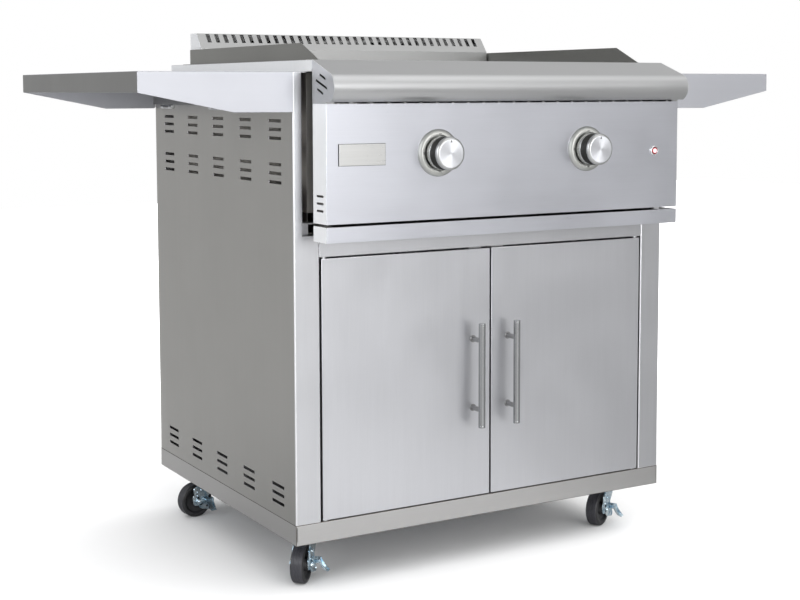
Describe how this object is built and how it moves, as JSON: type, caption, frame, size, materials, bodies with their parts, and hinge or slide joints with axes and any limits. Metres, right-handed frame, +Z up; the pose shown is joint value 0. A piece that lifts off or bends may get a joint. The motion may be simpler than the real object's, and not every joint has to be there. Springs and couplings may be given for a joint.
{
  "type": "flat top griddle",
  "caption": "Stainless steel flat top gas griddle on a wheeled cart, with doors, folding side shelves, a drip tray, knobs and a rear vent.",
  "frame": {"origin": "on the floor, under the middle of the whole object's box", "axes": "+X to the user's right, +Y to the back, +Z up; the doors and knobs face -Y"},
  "size_m": [1.478, 0.836, 1.086],
  "materials": {
    "brushed_stainless": "fine straight brushing, satin",
    "handle_steel": "satin, turned",
    "griddle_steel": "machined plate, satin",
    "firebox_steel": "mill finish, dull",
    "burner_steel": "mill finish",
    "black_pipe": "black, semi matt",
    "gas_brass": "machined",
    "zinc_plate": "bright zinc plate, bluish",
    "knob_metal": "spun and polished",
    "nameplate_metal": "satin badge with a dark border",
    "catch_plastic": "light grey moulding",
    "button_red": "red surround",
    "button_face": "small polished push button",
    "caster_rubber": "black, slightly glossy"
  },
  "bodies": {
    "root": {"base_frame": "brushed_stainless", "cabinet_floor": "brushed_stainless", "left_side_panel": "brushed_stainless", "right_side_panel": "brushed_stainless", "back_panel": "brushed_stainless", "front_header": "brushed_stainless", "head_support_ledges": "brushed_stainless", "door_catches": "catch_plastic", "door_hinge_pins": "zinc_plate", "caster_plates": "zinc_plate", "caster_bolts": "zinc_plate", "shelf_hinges": "zinc_plate", "firebox": "firebox_steel", "top_rim": "brushed_stainless", "griddle_plate": "griddle_steel", "grease_chute": "firebox_steel", "front_rail": "brushed_stainless", "front_rail_end_caps": "brushed_stainless", "control_panel": "brushed_stainless", "left_splash_guard": "brushed_stainless", "right_splash_guard": "brushed_stainless", "rear_vent": "brushed_stainless", "left_burner": "burner_steel", "right_burner": "burner_steel", "gas_manifold": "black_pipe", "gas_valves": "gas_brass", "gas_inlet_fitting": "gas_brass", "nameplate": "nameplate_metal", "knob_bezels": "knob_metal", "switch_bezel": "button_red", "tray_runners": "firebox_steel"},
    "left_door": {"left_door_panel": "brushed_stainless", "left_door_liner": "brushed_stainless", "left_door_handle": "handle_steel"},
    "right_door": {"right_door_panel": "brushed_stainless", "right_door_liner": "brushed_stainless", "right_door_handle": "handle_steel"},
    "drip_tray": {"drip_tray_front": "brushed_stainless", "drip_tray_pan": "firebox_steel"},
    "left_side_shelf": {"left_shelf": "brushed_stainless"},
    "right_side_shelf": {"right_shelf": "brushed_stainless"},
    "left_knob_pusher": {"left_push_collar": "gas_brass"},
    "left_knob_turner": {"left_knob": "knob_metal", "left_valve_stem": "gas_brass"},
    "right_knob_pusher": {"right_push_collar": "gas_brass"},
    "right_knob_turner": {"right_knob": "knob_metal", "right_valve_stem": "gas_brass"},
    "light_switch": {"light_button": "button_face"},
    "front_left_swivel": {"front_left_caster_fork": "zinc_plate"},
    "front_left_roller": {"front_left_caster_wheel": "caster_rubber"},
    "front_left_lever": {"front_left_caster_brake": "zinc_plate"},
    "front_right_swivel": {"front_right_caster_fork": "zinc_plate"},
    "front_right_roller": {"front_right_caster_wheel": "caster_rubber"},
    "front_right_lever": {"front_right_caster_brake": "zinc_plate"},
    "rear_left_swivel": {"rear_left_caster_fork": "zinc_plate"},
    "rear_left_roller": {"rear_left_caster_wheel": "caster_rubber"},
    "rear_left_lever": {"rear_left_caster_brake": "zinc_plate"},
    "rear_right_swivel": {"rear_right_caster_fork": "zinc_plate"},
    "rear_right_roller": {"rear_right_caster_wheel": "caster_rubber"},
    "rear_right_lever": {"rear_right_caster_brake": "zinc_plate"}
  },
  "joints": [
    {"name": "left_door_hinge", "type": "hinge", "parent": "root", "child": "left_door", "pos_m": [-0.3738, -0.28, 0.393], "axis": [0, 0, -1], "range_deg": [0, 105]},
    {"name": "right_door_hinge", "type": "hinge", "parent": "root", "child": "right_door", "pos_m": [0.3738, -0.28, 0.393], "axis": [0, 0, 1], "range_deg": [0, 105]},
    {"name": "drip_tray_slide", "type": "slide", "parent": "root", "child": "drip_tray", "axis": [0, -1, 0], "range_m": [0, 0.42]},
    {"name": "left_shelf_fold", "type": "hinge", "parent": "root", "child": "left_side_shelf", "pos_m": [-0.4435, 0.062, 0.924], "axis": [0, -1, 0], "range_deg": [0, 90]},
    {"name": "right_shelf_fold", "type": "hinge", "parent": "root", "child": "right_side_shelf", "pos_m": [0.4435, 0.062, 0.924], "axis": [0, 1, 0], "range_deg": [0, 90]},
    {"name": "left_knob_push", "type": "slide", "parent": "root", "child": "left_knob_pusher", "axis": [0, 1, 0], "range_m": [0, 0.003], "stiffness_N_per_m": 900, "springref_m": -0.002},
    {"name": "left_knob_turn", "type": "hinge", "parent": "left_knob_pusher", "child": "left_knob_turner", "pos_m": [-0.175, -0.364, 0.842], "axis": [0, -1, 0], "range_deg": [0, 180]},
    {"name": "right_knob_push", "type": "slide", "parent": "root", "child": "right_knob_pusher", "axis": [0, 1, 0], "range_m": [0, 0.003], "stiffness_N_per_m": 900, "springref_m": -0.002},
    {"name": "right_knob_turn", "type": "hinge", "parent": "right_knob_pusher", "child": "right_knob_turner", "pos_m": [0.175, -0.364, 0.842], "axis": [0, -1, 0], "range_deg": [0, 180]},
    {"name": "light_button_press", "type": "slide", "parent": "root", "child": "light_switch", "axis": [0, 1, 0], "range_m": [0, 0.002], "stiffness_N_per_m": 500, "springref_m": -0.001},
    {"name": "front_left_caster_swivel", "type": "hinge", "parent": "root", "child": "front_left_swivel", "pos_m": [-0.37, -0.188, 0.09], "axis": [0, 0, 1], "continuous": true},
    {"name": "front_left_wheel_spin", "type": "hinge", "parent": "front_left_swivel", "child": "front_left_roller", "pos_m": [-0.39046, -0.20994, 0.0375], "axis": [0.7314, -0.682, 0], "continuous": true},
    {"name": "front_left_brake_press", "type": "hinge", "parent": "front_left_swivel", "child": "front_left_lever", "pos_m": [-0.35425, -0.21363, 0.04], "axis": [0.682, 0.7314, 0], "range_deg": [0, 15]},
    {"name": "front_right_caster_swivel", "type": "hinge", "parent": "root", "child": "front_right_swivel", "pos_m": [0.37, -0.188, 0.09], "axis": [0, 0, 1], "continuous": true},
    {"name": "front_right_wheel_spin", "type": "hinge", "parent": "front_right_swivel", "child": "front_right_roller", "pos_m": [0.34364, -0.20231, 0.0375], "axis": [0.4772, -0.8788, 0], "continuous": true},
    {"name": "front_right_brake_press", "type": "hinge", "parent": "front_right_swivel", "child": "front_right_lever", "pos_m": [0.37681, -0.2173, 0.04], "axis": [0.8788, 0.4772, 0], "range_deg": [0, 15]},
    {"name": "rear_left_caster_swivel", "type": "hinge", "parent": "root", "child": "rear_left_swivel", "pos_m": [-0.37, 0.318, 0.09], "axis": [0, 0, 1], "continuous": true},
    {"name": "rear_left_wheel_spin", "type": "hinge", "parent": "rear_left_swivel", "child": "rear_left_roller", "pos_m": [-0.39984, 0.31486, 0.0375], "axis": [0.1045, -0.9945, 0], "continuous": true},
    {"name": "rear_left_brake_press", "type": "hinge", "parent": "rear_left_swivel", "child": "rear_left_lever", "pos_m": [-0.37493, 0.28832, 0.04], "axis": [0.9945, 0.1045, 0], "range_deg": [0, 15]},
    {"name": "rear_right_caster_swivel", "type": "hinge", "parent": "root", "child": "rear_right_swivel", "pos_m": [0.37, 0.318, 0.09], "axis": [0, 0, 1], "continuous": true},
    {"name": "rear_right_wheel_spin", "type": "hinge", "parent": "rear_right_swivel", "child": "rear_right_roller", "pos_m": [0.34351, 0.30392, 0.0375], "axis": [0.4695, -0.8829, 0], "continuous": true},
    {"name": "rear_right_brake_press", "type": "hinge", "parent": "rear_right_swivel", "child": "rear_right_lever", "pos_m": [0.37655, 0.28864, 0.04], "axis": [0.8829, 0.4695, 0], "range_deg": [0, 15]}
  ]
}
